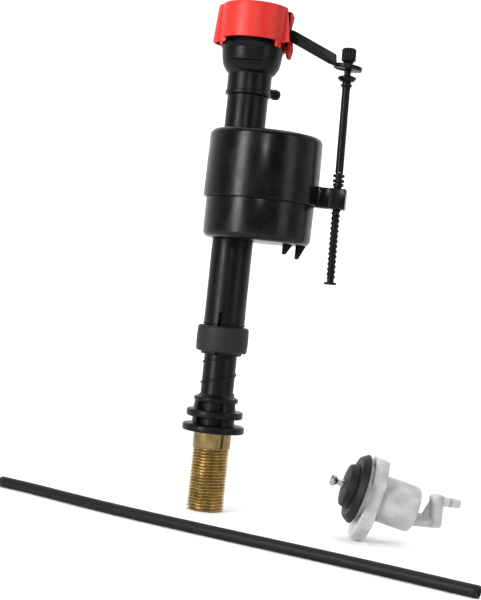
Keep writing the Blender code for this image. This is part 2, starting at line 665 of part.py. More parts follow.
def make_float_upper(finish):
    low, high = FLOAT_Z[1:]
    inner = FLOAT_R - FLOAT_WALL
    shell = turned("float_upper", [
        (0, high), *arc((FLOAT_R - FLOAT_ROUND, high - FLOAT_ROUND), FLOAT_ROUND, 90, 0, 4), (FLOAT_R, low),
        (inner, low), (inner, high - FLOAT_WALL), (0, high - FLOAT_WALL)], at=(FLOAT_X, 0, 0), finish=finish)
    join(shell, round_bar("upper_guide", GUIDE_R + GUIDE_WALL, (0, 0, low), (0, 0, high - FLOAT_WALL / 2), 40))
    cut(shell, round_bar("upper_bore", GUIDE_R, (0, 0, low - 1 * MM), (0, 0, high + 1 * MM), 40))
    return shell


def make_float_lower(finish):
    low, high = FLOAT_Z[:2]
    lap = 3 * MM
    spigot_r = FLOAT_R - FLOAT_WALL - GAP
    inner = spigot_r - FLOAT_WALL
    seat = high - GAP
    shell = turned("float_lower", [
        (spigot_r, seat + lap), (spigot_r, seat), (FLOAT_LOWER_R, seat),
        *arc((FLOAT_LOWER_R - FLOAT_ROUND, low + FLOAT_ROUND), FLOAT_ROUND, 0, -90, 4), (0, low),
        (0, low + FLOAT_WALL), (inner, low + FLOAT_WALL), (inner, seat + lap)], at=(FLOAT_X, 0, 0), finish=finish)
    return shell


def finish_float_lower(shell):
    low, high = FLOAT_Z[:2]
    join(shell, round_bar("lower_guide", GUIDE_R + GUIDE_WALL, (0, 0, low + FLOAT_WALL / 2),
                          (0, 0, high - GAP), 40))
    cut(shell, round_bar("lower_bore", GUIDE_R, (0, 0, low - 1 * MM), (0, 0, high + 1 * MM), 40))
    top = low + FLOAT_WALL / 2
    fin_t = 1 * MM
    for i, (start, drop, side) in enumerate(((30.5 * MM, 6 * MM, -3 * MM), (37.5 * MM, 8 * MM, 3 * MM))):
        join(shell, plate(f"fin_{i}", [(start, top), (start, low - drop), (start + 2.2 * MM, low - drop),
                                       (start + 6.5 * MM, top)], side - fin_t, side + fin_t))
    return shell


def make_clip(finish):
    low, high = CLIP_Z
    wall = FLOAT_X + FLOAT_R + GAP
    arm = 2.2 * MM
    half = CLIP_D / 2
    clip = box("float_clip", (CLIP_X - CLIP_W / 2, -half, low), (CLIP_X + CLIP_W / 2, half, high))
    clip.data.materials.append(finish)
    join(clip, box("clip_foot", (wall, -half - 1 * MM, low), (wall + 1.6 * MM, half + 1 * MM, high)))
    join(clip, box("clip_arm", (wall + 0.8 * MM, -half + 1 * MM, low + 0.01 * MM),
                   (CLIP_X - CLIP_W / 2 + 1 * MM, -half + 1 * MM + arm, high - 0.01 * MM)))
    join(clip, box("clip_arm_back", (wall + 0.8 * MM, half - 1 * MM - arm, low + 0.01 * MM),
                   (CLIP_X - CLIP_W / 2 + 1 * MM, half - 1 * MM, high - 0.01 * MM)))
    cut(clip, round_bar("clip_hole", CLIP_HOLE_R, (CLIP_X, 0, low - 1 * MM), (CLIP_X, 0, high + 1 * MM)))
    return clip


# ---------------------------------------------------------------- adaptor

def adaptor_frame():
    """Local X runs from the rubber seal to the elbow, and local Z is up."""
    turn = Matrix.Rotation(ADAPTOR_TURN, 4, "Z") @ Matrix.Rotation(ADAPTOR_DROP, 4, "Y")
    return Matrix.Translation(ADAPTOR_AT) @ turn


def make_adaptor_body(finish):
    frame = adaptor_frame()
    lie = Matrix.Rotation(pi / 2, 4, "Y")
    edge = 2.5 * MM
    body = turned("adaptor_body", [
        (0, CUP_L), *arc((CUP_R - edge, CUP_L - edge), edge, 90, 0), (CUP_R, -RIM_DISC_T / 2),
        (0, -RIM_DISC_T / 2)], 32, finish=finish)
    body.matrix_basis = frame @ lie
    disc = RIM_DISC_OFF

    def fit(tool):
        tool.matrix_basis = frame @ tool.matrix_basis
        return tool

    wide, tall, (cut_y, cut_z) = RIM_W / 2, RIM_H / 2, RIM_CORNER
    rim = plate("rim_plate", [
        (-wide, disc - tall + cut_z), (cut_y - wide, disc - tall), (wide - cut_y, disc - tall),
        (wide, disc - tall + cut_z), (wide, disc + tall - cut_z), (wide - cut_y, disc + tall),
        (cut_y - wide, disc + tall), (-wide, disc + tall - cut_z)], 0, RIM_DISC_T)
    rim.matrix_basis = Matrix.Rotation(pi / 2, 4, "Z") @ rim.matrix_basis
    join(body, fit(rim))
    join(body, fit(round_bar("rim_step", STEP_R, (-RIM_DISC_T - STEP_T, 0, RUBBER_OFF),
                             (-RIM_DISC_T / 2, 0, RUBBER_OFF), 32)))
    along = Vector((cos(ELBOW_TILT), 0, sin(ELBOW_TILT)))
    up = Vector((-sin(ELBOW_TILT), 0, cos(ELBOW_TILT)))
    corner = Vector((CUP_L + 12.9 * MM, 0, -2.3 * MM))
    root = corner - along * 15 * MM
    top = corner + up * ELBOW_HEIGHT
    join(body, fit(round_bar("elbow_leg", ELBOW_R, root, corner + along * ELBOW_R * 0.6, 20)))
    join(body, fit(round_bar("elbow_rise", ELBOW_R - 0.2 * MM, corner - up * ELBOW_R * 0.7, top, 20)))
    barb_root = corner + up * (ELBOW_HEIGHT - 3.4 * MM)
    barb_way = Vector((cos(radians(10)), 0, sin(radians(10))))
    join(body, fit(round_bar("barb", BARB_R + 0.4 * MM, barb_root, barb_root + barb_way * (ELBOW_R + 5 * MM), 16,
                             BARB_R)))
    join(body, fit(round_bar("barb_tip", BARB_R + 0.1 * MM, barb_root + barb_way * (ELBOW_R + 3 * MM),
                             barb_root + barb_way * (ELBOW_R + BARB_L), 16, BARB_R - 0.7 * MM)))
    web_t = 1.2 * MM
    join(body, fit(plate("elbow_web", [
        (CUP_L + 4.6 * MM, -1.5 * MM), (CUP_L + 14 * MM, -1.5 * MM), (CUP_L + 10 * MM, 9 * MM),
        (CUP_L + 7 * MM, 9 * MM)], -web_t, web_t)))
    cut(body, fit(round_bar("cup_hollow", CUP_R - CUP_WALL, (-RIM_DISC_T - STEP_T - 1 * MM, 0, 0),
                            (CUP_L - CUP_WALL, 0, 0), 32)))
    cut(body, fit(round_bar("leg_bore", BORE_R, root - along * 2 * MM, corner, 10)))
    cut(body, fit(round_bar("rise_bore", BORE_R - 0.1 * MM, corner - up * 0.2 * MM, barb_root + up * 0.3 * MM, 10)))
    cut(body, fit(round_bar("barb_bore", BORE_R - 0.2 * MM, barb_root, barb_root + barb_way * 20 * MM, 10)))
    return body


def make_adaptor_seal(finish):
    lie = Matrix.Translation((0, 0, RUBBER_OFF)) @ Matrix.Rotation(-pi / 2, 4, "Y")
    back = RIM_DISC_T + STEP_T + GAP
    seal = turned("adaptor_seal", [
        (STEM_R + GAP, back + 9.9 * MM), (BOSS_R - 1.3 * MM, back + 8.8 * MM), (BOSS_R, back + 5.2 * MM),
        (BOSS_R, back + 4.6 * MM), (RUBBER_R - 2.4 * MM, back + 4.4 * MM), (RUBBER_R, back + 0.6 * MM),
        (RUBBER_R - 0.5 * MM, back), (STEM_R + GAP, back)], ROUND, finish=finish)
    seal.matrix_basis = adaptor_frame() @ lie
    return seal


def make_adaptor_pin(finish):
    lie = Matrix.Translation((0, 0, RUBBER_OFF)) @ Matrix.Rotation(-pi / 2, 4, "Y")
    face = RIM_DISC_T + STEP_T + GAP + 9.9 * MM
    end = face + 7.6 * MM
    pin = turned("adaptor_pin", [
        (0, end), (STEM_HEAD_R * 0.7, end - 0.5 * MM), (STEM_HEAD_R, end - 1.7 * MM),
        (STEM_HEAD_R, end - 2.4 * MM), (STEM_R - 0.5 * MM, end - 3.6 * MM), (STEM_R, end - 4.8 * MM),
        (STEM_R, face - 12 * MM), (0, face - 12 * MM)], ROUND_SMALL, finish=finish)
    pin.matrix_basis = adaptor_frame() @ lie
    return pin


# ---------------------------------------------------------------- refill tube

def make_refill_tube(finish):
    corners = [Vector((x * MM, y * MM, FLOOR + REFILL_R)) for x, y in REFILL_ROUTE]
    tube = curve_solid("refill_tube", smooth_route(corners, REFILL_POINTS), REFILL_R, 3)
    tube.data.materials.append(finish)
    return tube


# ---------------------------------------------------------------- the object

clear_scene()
PARTS = collection("toilet_fill_valve")
CUTTERS = collection("cutters")

black = material("black_polypropylene", (0.012, 0.012, 0.013), 0.42)
grey = material("charcoal_acetal", (0.055, 0.057, 0.058), 0.5)
red = material("red_acetal", (0.8, 0.035, 0.03), 0.35)
brass = material("machined_brass", (0.6, 0.4, 0.15), 0.35, 1)
rubber = material("black_rubber", (0.01, 0.01, 0.01), 0.65)
steel = material("stainless_steel", (0.6, 0.6, 0.6), 0.25, 1)
milky = material("natural_polypropylene", (0.75, 0.76, 0.74), 0.4)
vinyl = material("black_vinyl", (0.012, 0.012, 0.012), 0.4)

make_shank(brass)
make_o_ring("shank_o_ring", SPIGOT_R - 1.7 * MM + GAP, SPIGOT_R, RING_GROOVE_Z, rubber)
make_base(black)
make_pipe(black)
make_o_ring("pipe_o_ring", PIPE_R - 0.8 * MM + GAP, TUBE_BORE_R - GAP, PIPE_BOTTOM + 3.15 * MM, rubber)
make_riser(black)
make_lock_ring(grey)
make_valve_body(black)
make_seal(rubber)
make_seal_pin(steel)
make_cap(red)
make_lever(black)
make_rod(black)
make_swivel(black)
make_float_upper(black)
finish_float_lower(make_float_lower(black))
make_clip(black)
make_adaptor_body(milky)
make_adaptor_seal(rubber)
make_adaptor_pin(steel)
make_refill_tube(vinyl)

for piece in PARTS.objects:
    smooth(piece)
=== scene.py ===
# %% [markdown]
# # A toilet fill valve with its refill tube and adaptor
#
# The valve stands on its brass shank, with the float cup off-centre on the riser. Beside it lie the two
# loose pieces that come with it: a black refill tube and a milky adaptor with a rubber seal.
# Sizes are in millimetres times MM, and +Z is up along the riser.

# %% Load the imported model
from math import cos, pi, radians, sin, tan

import bmesh
import bpy
from mathutils import Matrix, Vector


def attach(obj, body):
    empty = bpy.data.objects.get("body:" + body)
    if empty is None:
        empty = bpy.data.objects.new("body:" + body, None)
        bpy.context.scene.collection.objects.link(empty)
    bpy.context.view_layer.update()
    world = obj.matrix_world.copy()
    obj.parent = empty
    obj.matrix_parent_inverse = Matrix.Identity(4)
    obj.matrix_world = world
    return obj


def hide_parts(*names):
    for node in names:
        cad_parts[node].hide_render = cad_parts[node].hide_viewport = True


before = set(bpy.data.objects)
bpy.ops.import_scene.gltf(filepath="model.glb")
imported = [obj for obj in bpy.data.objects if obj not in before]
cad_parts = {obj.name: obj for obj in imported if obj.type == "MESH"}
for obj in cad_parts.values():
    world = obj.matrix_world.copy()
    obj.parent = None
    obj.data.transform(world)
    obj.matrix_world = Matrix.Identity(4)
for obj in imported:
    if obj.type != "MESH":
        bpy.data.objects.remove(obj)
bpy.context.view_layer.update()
MM = 0.001

# %% [markdown]
# ## Camera
# The camera stands 800 mm away, a little to the right of the front, and leans by six degrees, so the
# valve leans to the right in the picture. An 80 mm lens keeps the riser's sides almost parallel.

# %% Camera
FLOOR = -47 * MM
CAMERA_DISTANCE = 800 * MM
CAMERA_HEIGHT = 85 * MM
CAMERA_TURN = radians(10)
CAMERA_LEAN = radians(6)
CAMERA_YAW, CAMERA_PITCH = 0.01032, -0.00681
LENS = 80.5

scene = bpy.context.scene
facing = CAMERA_TURN - CAMERA_YAW
right = Vector((cos(facing), sin(facing), 0))
ahead = Vector((-sin(facing) * cos(CAMERA_PITCH), cos(facing) * cos(CAMERA_PITCH), sin(CAMERA_PITCH)))
up = right.cross(ahead)
leaning_right = cos(CAMERA_LEAN) * right + sin(CAMERA_LEAN) * up
leaning_up = -sin(CAMERA_LEAN) * right + cos(CAMERA_LEAN) * up
camera = bpy.data.objects.new("camera", bpy.data.cameras.new("camera"))
camera.data.lens = LENS
camera.matrix_world = Matrix.Translation((
    CAMERA_DISTANCE * sin(CAMERA_TURN), -CAMERA_DISTANCE * cos(CAMERA_TURN), CAMERA_HEIGHT)) @ Matrix(
    (leaning_right, leaning_up, -ahead)).transposed().to_4x4()
scene.collection.objects.link(camera)
scene.camera = camera
print("camera at", [round(v / MM) for v in camera.matrix_world.translation], "mm")

# %% [markdown]
# ## Nodes and colours
# Every finish is a Principled BSDF with a few texture nodes in front of it. Two small functions are
# enough: one turns an sRGB hex value to the linear numbers a shader takes, and one adds a node with its
# settings and its links. A link is given as the node it comes from, or as a pair of node and output name.

# %% Colour and node helpers
def colour(code):
    """An sRGB hex value as linear red, green, blue and alpha."""
    channels = [int(code[i:i + 2], 16) / 255 for i in (1, 3, 5)]
    return (*((c / 12.92 if c <= 0.04045 else ((c + 0.055) / 1.055) ** 2.4) for c in channels), 1)


def add_node(finish, kind, inputs=None, **settings):
    """A node of this kind in the finish, with its settings, and its inputs set or linked."""
    node = finish.node_tree.nodes.new(kind)
    for name, value in settings.items():
        setattr(node, name, value)
    for name, value in (inputs or {}).items():
        socket = node.inputs[name]
        if isinstance(value, bpy.types.Node):
            value = (value, 0)
        if isinstance(value, tuple) and isinstance(value[0], bpy.types.Node):
            finish.node_tree.links.new(value[0].outputs[value[1]], socket)
        else:
            socket.default_value = value
    return node


def new_finish(name, inputs):
    """A material with an empty tree and its Principled BSDF, which the caller feeds."""
    finish = bpy.data.materials.new(name)
    finish.use_nodes = True
    finish.node_tree.nodes.clear()
    shader = add_node(finish, "ShaderNodeBsdfPrincipled", inputs)
    add_node(finish, "ShaderNodeOutputMaterial", {"Surface": shader})
    return finish, shader


def feed(finish, shader, **links):
    """Links nodes to the shader's sockets; an underscore in a name stands for a space."""
    for name, source in links.items():
        node, output = source if isinstance(source, tuple) else (source, 0)
        finish.node_tree.links.new(node.outputs[output], shader.inputs[name.replace("_", " ")])


def ramp_stops(node, *stops):
    """Sets a Color Ramp's stops, each a place from 0 to 1 and a colour."""
    elements = node.color_ramp.elements
    while len(elements) > len(stops):
        elements.remove(elements[-1])
    while len(elements) < len(stops):
        elements.new(1)
    for element, (place, shade) in zip(elements, stops):
        element.position, element.color = place, shade

# %% [markdown]
# ## Refill tube
# A refill tube is an extruded vinyl hose, 1/4 in. outside, cut square at both ends and left in a shallow
# bend by its packing. A curve drawn through a few points along its route gives a smooth bend, and its
# bevel gives the hose's outside. Solidify then turns the open tube inwards into a wall.

# %% Black vinyl, extruded
# Extrusion leaves a satin skin with faint lines along the hose, so its highlight is long and soft.
vinyl, vinyl_shader = new_finish("extruded_black_vinyl", {
    "IOR": 1.53, "Roughness": 0.5, "Specular IOR Level": 0.17})
place = add_node(vinyl, "ShaderNodeTexCoord")
along = add_node(vinyl, "ShaderNodeMapping", {"Vector": (place, "Object"), "Rotation": (0, 0, radians(24)),
                                              "Scale": (0.05, 1, 1)})
lines = add_node(vinyl, "ShaderNodeTexNoise", {"Vector": along, "Scale": 1 / (0.9 * MM), "Detail": 3})
cloud = add_node(vinyl, "ShaderNodeTexNoise", {"Vector": (place, "Object"), "Scale": 1 / (6 * MM)})
shade = add_node(vinyl, "ShaderNodeValToRGB", {"Fac": cloud})
ramp_stops(shade, (0.3, colour("#08080a")), (0.7, colour("#101012")))
dents = add_node(vinyl, "ShaderNodeBump", {"Height": lines, "Strength": 0.25, "Distance": 0.05 * MM})
feed(vinyl, vinyl_shader, Base_Color=shade, Normal=dents)
print(vinyl.name)

# %% Refill tube
TUBE_R = 3.175 * MM
TUBE_WALL = 0.9 * MM
ROUTE = [(-122, -15), (-101, -25), (-75, -39.5), (-47.5, -54.5), (-16, -69.5), (15.5, -83.5),
         (44, -95.7), (72.5, -107.5), (99, -119), (124, -130.5), (148, -142), (160, -147.5)]
ROUTE_POINTS = 61


def smooth_route(corners, count):
    """Evenly counted points on a Catmull-Rom curve through the corners."""
    padded = [2 * corners[0] - corners[1], *corners, 2 * corners[-1] - corners[-2]]
    spans = len(corners) - 1
    route = []
    for i in range(count):
        place = i * spans / (count - 1)
        k = min(int(place), spans - 1)
        t = place - k
        a, b, c, d = padded[k:k + 4]
        route.append(0.5 * (2 * b + (c - a) * t + (2 * a - 5 * b + 4 * c - d) * t * t
                            + (3 * b - a - 3 * c + d) * t ** 3))
    return route


route = smooth_route([Vector((x * MM, y * MM, FLOOR + TUBE_R)) for x, y in ROUTE], ROUTE_POINTS)
wire = bpy.data.curves.new("tube_line", "CURVE")
wire.dimensions = "3D"
wire.bevel_depth = TUBE_R
wire.bevel_resolution = 8
line = wire.splines.new("POLY")
line.points.add(ROUTE_POINTS - 1)
for point, spot in zip(line.points, route):
    point.co = (*spot, 1)
holder = bpy.data.objects.new("tube_line", wire)
scene.collection.objects.link(holder)
bpy.context.view_layer.update()
tube_mesh = bpy.data.meshes.new_from_object(holder.evaluated_get(bpy.context.evaluated_depsgraph_get()))
bpy.data.objects.remove(holder)
tube_mesh.name = "refill_hose"
tube_mesh.materials.clear()
tube_mesh.materials.append(vinyl)
refill_tube = bpy.data.objects.new("refill_hose", tube_mesh)
scene.collection.objects.link(refill_tube)
wall = refill_tube.modifiers.new("Wall", "SOLIDIFY")
wall.thickness = TUBE_WALL
wall.offset = -1
tube_mesh.shade_smooth()
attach(refill_tube, "base")
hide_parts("refill_tube")

# %% [markdown]
# ## Floor and light
# The object stands on a table-sized sheet of white paper in a white room. A tall softbox stands on the left,
# a weaker one on the right and a wide one overhead, with a small flash just over the camera. Paper and
# room are both lit until they are nearly pure white, so that no horizon shows between them.

# %% Floor
# Matt paper: no gloss, so the floor holds only a soft shadow.
paper, paper_shader = new_finish("matt_white_paper", {"Roughness": 0.9, "Specular IOR Level": 0.1})
place = add_node(paper, "ShaderNodeTexCoord")
fibre = add_node(paper, "ShaderNodeTexNoise", {"Vector": (place, "Object"), "Scale": 1 / (2 * MM)})
shade = add_node(paper, "ShaderNodeValToRGB", {"Fac": fibre})
ramp_stops(shade, (0, colour("#fbfbfb")), (1, colour("#ffffff")))
feed(paper, paper_shader, Base_Color=shade)
PAPER_WIDTH, PAPER_DEPTH, PAPER_Y = 2.2, 1.6, -0.1
sheet = bmesh.new()
bmesh.ops.create_grid(sheet, x_segments=1, y_segments=1, size=1, matrix=Matrix.Translation((0, PAPER_Y, FLOOR))
                      @ Matrix.Diagonal((PAPER_WIDTH / 2, PAPER_DEPTH / 2, 1, 1)))
floor_mesh = bpy.data.meshes.new("floor")
sheet.to_mesh(floor_mesh)
sheet.free()
floor_mesh.materials.append(paper)
floor = bpy.data.objects.new("floor", floor_mesh)
scene.collection.objects.link(floor)
print("floor of", PAPER_WIDTH, "by", PAPER_DEPTH, "m")

# %% Lamps and world
AIM = Vector((0, 0, 100 * MM))


def lamp(name, spot, size, power):
    """A white rectangular area lamp at a spot, aimed at the middle of the valve."""
    light = bpy.data.lights.new(name, "AREA")
    light.shape = "RECTANGLE"
    light.size, light.size_y = size
    light.energy = power
    holder = bpy.data.objects.new(name, light)
    holder.location = spot
    holder.rotation_euler = (AIM - Vector(spot)).to_track_quat("-Z", "Y").to_euler()
    scene.collection.objects.link(holder)


lamp("left_softbox", (-0.86, -1.12, 0.35), (0.32, 1.3), 30)
lamp("right_softbox", (1.25, -0.65, 0.5), (0.5, 1.2), 6)
lamp("flash", (0.139, -0.86, 0.42), (0.06, 0.05), 1.6)
lamp("top_softbox", (0, 0.15, 1.5), (1.4, 1.2), 12)

# The backdrop is white whichever way one looks, but the light that it gives is weaker on the near side,
# as in a studio with its lamps switched off there, so that the black pieces mirror a dark band.
world = bpy.data.worlds.new("studio")
world.use_nodes = True
background = world.node_tree.nodes["Background"]
background.inputs["Color"].default_value = colour("#ffffff")
place = add_node(world, "ShaderNodeTexCoord")
split = add_node(world, "ShaderNodeSeparateXYZ", {"Vector": (place, "Generated")})
ramp = add_node(world, "ShaderNodeMapRange", {"Value": (split, "Y"), "From Min": -0.35, "From Max": 0.6,
                                              "To Min": 0.04, "To Max": 1.3})
ray = add_node(world, "ShaderNodeLightPath")
feed(world, background, Strength=add_node(world, "ShaderNodeMath", {0: ramp, 1: (ray, "Is Camera Ray")},
                                          operation="MAXIMUM"))
scene.world = world
scene.view_settings.view_transform = "Standard"

# %% [markdown]
# ## Shape helpers
# Most of a moulded valve is turned or extruded, so a few helpers make nearly all of it. They draw in
# millimetres, and each gives a bmesh: `turned` spins an outline about the riser's axis, `prism` extrudes
# one, `block` and `bar` start from a cube and a cylinder. Corners are rounded in the outline itself,
# because a moulding never has a sharp edge, and its thin highlight is what shows the shape.

# %% Rounded outlines and turned shapes
def rounded(outline, steps=4):
    """Corners of (x, z, rounding) as points on their arcs. A corner with no rounding stays sharp."""
    corners = [(Vector(corner[:2]), corner[2] if len(corner) > 2 else 0) for corner in outline]
    points = []
    for i, (corner, rounding) in enumerate(corners):
        if not rounding:
            points.append(tuple(corner))
            continue
        before = (corners[i - 1][0] - corner).normalized()
        after = (corners[(i + 1) % len(corners)][0] - corner).normalized()
        half = before.angle(after) / 2
        centre = corner + (before + after).normalized() * rounding / sin(half)
        reach = rounding / tan(half)
        start, end = corner + before * reach - centre, corner + after * reach - centre
        points += [tuple(centre + rounding * start.slerp(end, k / steps)) for k in range(steps + 1)]
    return points


def turned(outline, steps=96, lie=None):
    """An outline of (radius, height, rounding) corners, down outside and up inside, spun about +Z."""
    shape = bmesh.new()
    points = [shape.verts.new((max(r, 0), 0, z)) for r, z in rounded(outline)]
    edges = [shape.edges.new(pair) for pair in zip(points, points[1:])]
    if outline[0][0] > 0:
        edges.append(shape.edges.new((points[-1], points[0])))
    bmesh.ops.spin(shape, geom=points + edges, cent=(0, 0, 0), axis=(0, 0, 1), angle=2 * pi, steps=steps,
                   use_merge=True)
    bmesh.ops.remove_doubles(shape, verts=shape.verts, dist=0.0001)
    bmesh.ops.recalc_face_normals(shape, faces=shape.faces)
    return moved(shape, lie)


def moved(shape, matrix):
    """The shape, moved by a matrix."""
    if matrix:
        bmesh.ops.transform(shape, matrix=matrix, verts=shape.verts)
    return shape


def joined(*shapes):
    """Several shapes in one, each still its own shell."""
    whole = shapes[0]
    for shape in shapes[1:]:
        store = bpy.data.meshes.new("store")
        shape.to_mesh(store)
        shape.free()
        whole.from_mesh(store)
        bpy.data.meshes.remove(store)
    return whole


trial = turned([(0, 2), (3, 2, 0.5), (3, 0, 0.5), (0, 0)], 24)
print("a small disc has", len(trial.faces), "faces")
trial.free()

# %% Prisms, blocks and bars
def softened(shape, rounding, sharper=30, segments=3):
    """The shape with every edge sharper than an angle rounded over."""
    edges = [e for e in shape.edges if e.is_manifold and e.calc_face_angle() > radians(sharper)]
    if rounding:
        bmesh.ops.bevel(shape, geom=edges, offset=rounding, segments=segments, profile=0.5, affect="EDGES",
                        material=-1, clamp_overlap=True)
    return shape


def prism(outline, low, high, rounding=0, lie=None):
    """An outline of (x, z, rounding) corners, extruded along Y from low to high."""
    shape = bmesh.new()
    face = shape.faces.new([shape.verts.new((x, low, z)) for x, z in rounded(outline)])
    grown = bmesh.ops.extrude_face_region(shape, geom=[face])["geom"]
    bmesh.ops.translate(shape, verts=[v for v in grown if isinstance(v, bmesh.types.BMVert)],
                        vec=(0, high - low, 0))
    bmesh.ops.recalc_face_normals(shape, faces=shape.faces)
    return moved(softened(shape, rounding, 40), lie)


def block(low, high, rounding=0, lie=None):
    """A box between two corners."""
    low, high = Vector(low), Vector(high)
    shape = bmesh.new()
    bmesh.ops.create_cube(shape, size=1, matrix=Matrix.Translation((low + high) / 2)
                          @ Matrix.Diagonal((*(high - low), 1)))
    return moved(softened(shape, rounding), lie)


def bar(radius, start, end, end_radius=None, rounding=0, sides=40, lie=None):
    """A round bar or cone from start to end."""
    start, end = Vector(start), Vector(end)
    shape = bmesh.new()
    bmesh.ops.create_cone(shape, cap_ends=True, segments=sides, radius1=radius, radius2=end_radius or radius,
                          depth=(end - start).length,
                          matrix=Matrix.Translation((start + end) / 2)
                          @ (end - start).to_track_quat("Z", "Y").to_matrix().to_4x4())
    return moved(softened(shape, rounding, 60), lie)


def about_z(angle):
    """A turn about the riser's axis."""
    return Matrix.Rotation(angle, 4, "Z")


print("a rounded block has", len(block((0, 0, 0), (4, 3, 2), 0.4).faces), "faces")

# %% [markdown]
# Windows, slots and bores are cut with an exact Boolean, which is applied at once so that the piece is
# plain mesh again. A thread is one groove's outline, spun while it climbs: a spin with a step along the
# axis. It is then trimmed flat at both ends and closed inside.

# %% Cuts, threads and finished pieces
def as_object(shape, name):
    """The shape as a new object in the scene."""
    mesh = bpy.data.meshes.new(name)
    shape.to_mesh(mesh)
    shape.free()
    thing = bpy.data.objects.new(name, mesh)
    scene.collection.objects.link(thing)
    return thing


def carved(shape, *tools, operation="DIFFERENCE"):
    """The shape after a Boolean with all the tools, which are used up."""
    body = as_object(shape, "body")
    tool = as_object(joined(*tools), "tool")
    step = body.modifiers.new("Cut", "BOOLEAN")
    step.operation, step.object, step.solver, step.use_self = operation, tool, "EXACT", True
    bpy.context.view_layer.update()
    result = bpy.data.meshes.new_from_object(body.evaluated_get(bpy.context.evaluated_depsgraph_get()))
    for thing in (body, tool):
        bpy.data.objects.remove(thing)
    shape = bmesh.new()
    shape.from_mesh(result)
    bpy.data.meshes.remove(result)
    return shape


def threaded(groove, pitch, low, high, core, steps=72):
    """A right-handed thread: one pitch of (radius, height) points, spun as it climbs from low to high."""
    shape = bmesh.new()
    turns = int((high - low) / pitch) + 2
    points = [shape.verts.new((r, 0, low - pitch + z)) for r, z in groove]
    edges = [shape.edges.new(pair) for pair in zip(points, points[1:])]
    bmesh.ops.spin(shape, geom=points + edges, cent=(0, 0, 0), axis=(0, 0, 1),
                   dvec=(0, 0, pitch / steps), angle=2 * pi * turns, steps=steps * turns)
    bmesh.ops.remove_doubles(shape, verts=shape.verts, dist=0.001)
    for height, above in ((low, False), (high, True)):
        bmesh.ops.bisect_plane(shape, geom=[*shape.verts, *shape.edges, *shape.faces], dist=0.0001,
                               plane_co=(0, 0, height), plane_no=(0, 0, 1), clear_outer=above,
                               clear_inner=not above)
    rims = [e for e in shape.edges if e.is_boundary]
    for vert in bmesh.ops.extrude_edge_only(shape, edges=rims)["geom"]:
        if isinstance(vert, bmesh.types.BMVert):
            vert.co.xy *= core / vert.co.xy.length
    bmesh.ops.bridge_loops(shape, edges=[e for e in shape.edges if e.is_boundary])
    bmesh.ops.recalc_face_normals(shape, faces=shape.faces)
    return shape


def finished(name, shape, finish, body, *stands_for, crease=32):
    """The shape as a piece of the valve: in metres, in its finish, riding on its body."""
    bmesh.ops.scale(shape, vec=(MM, MM, MM), verts=shape.verts)
    gaps = sum(1 for e in shape.edges if len(e.link_faces) != 2)
    piece = as_object(shape, name)
    piece.data.materials.append(finish)
    piece.data.shade_smooth()
    piece.data.set_sharp_from_angle(angle=radians(crease))
    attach(piece, body)
    if stands_for:
        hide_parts(*stands_for)
    print(f"{name}: {len(piece.data.polygons)} faces, {gaps} open edges")


trial = carved(block((0, 0, 0), (4, 4, 2)), bar(1, (2, 2, -1), (2, 2, 3)))
print("a drilled block has", len(trial.faces), "faces")
trial.free()

# %% [markdown]
# ## Finishes of the valve
# The tubes, float and base are injection-moulded polypropylene, dyed black. Polypropylene is waxy: it
# has a dark, slightly mottled skin, a broad highlight, and a pale rim where the floor is mirrored at a
# low angle. The mould's fine grain breaks up the highlight, so it gets a bump of a few hundredths of a
# millimetre, drawn about 0.5 mm wide so that it still shows from here.

# %% Black and grey mouldings
def moulded(name, dark, pale, roughness, grain=0.5, depth=0.02, sheen=0.27):
    """A moulded plastic: a cloudy colour, patches of duller skin and a fine grain."""
    finish, shader = new_finish(name, {"IOR": 1.49, "Specular IOR Level": sheen})
    place = add_node(finish, "ShaderNodeTexCoord")
    cloud = add_node(finish, "ShaderNodeTexNoise", {"Vector": (place, "Object"), "Scale": 1 / (9 * MM),
                                                    "Detail": 4, "Roughness": 0.6})
    fine = add_node(finish, "ShaderNodeTexNoise", {"Vector": (place, "Object"), "Scale": 1 / (grain * MM),
                                                   "Detail": 2})
    mixed = add_node(finish, "ShaderNodeMath", {0: cloud, 1: fine}, operation="ADD")
    shade = add_node(finish, "ShaderNodeValToRGB", {"Fac": add_node(
        finish, "ShaderNodeMath", {0: mixed, 1: 0.5}, operation="MULTIPLY")})
    ramp_stops(shade, (0.35, colour(dark)), (0.65, colour(pale)))
    skin = add_node(finish, "ShaderNodeMapRange", {"Value": cloud, "From Min": 0.3, "From Max": 0.7,
                                                   "To Min": roughness - 0.05, "To Max": roughness + 0.06})
    dents = add_node(finish, "ShaderNodeBump", {"Height": fine, "Strength": 0.35, "Distance": depth * MM})
    feed(finish, shader, Base_Color=shade, Roughness=skin, Normal=dents)
    return finish, shader


# The float is moulded in a better polished tool, so its highlight is narrower. Acetal is glossier again.
black, _ = moulded("moulded_black_polypropylene", "#060607", "#0c0c0d", 0.35, sheen=0.13)
float_black, _ = moulded("moulded_black_float_polypropylene", "#060608", "#0d0d0e", 0.26, sheen=0.18)
acetal, _ = moulded("moulded_black_acetal", "#070709", "#0e0e11", 0.36, 0.4, sheen=0.2)
# The lock ring is a duller, greyer moulding with a coarse matt skin.
grey, _ = moulded("moulded_charcoal_nylon", "#141515", "#1e1f1f", 0.55, 0.6, 0.03, 0.2)
print(black.name, float_black.name, acetal.name, grey.name)

# %% [markdown]
# The cap is red acetal, glossier than the tubes, with a slight glow under its skin because the dye lets
# light in. The seals are nitrile rubber, nearly black and matt. Pins are turned stainless steel.

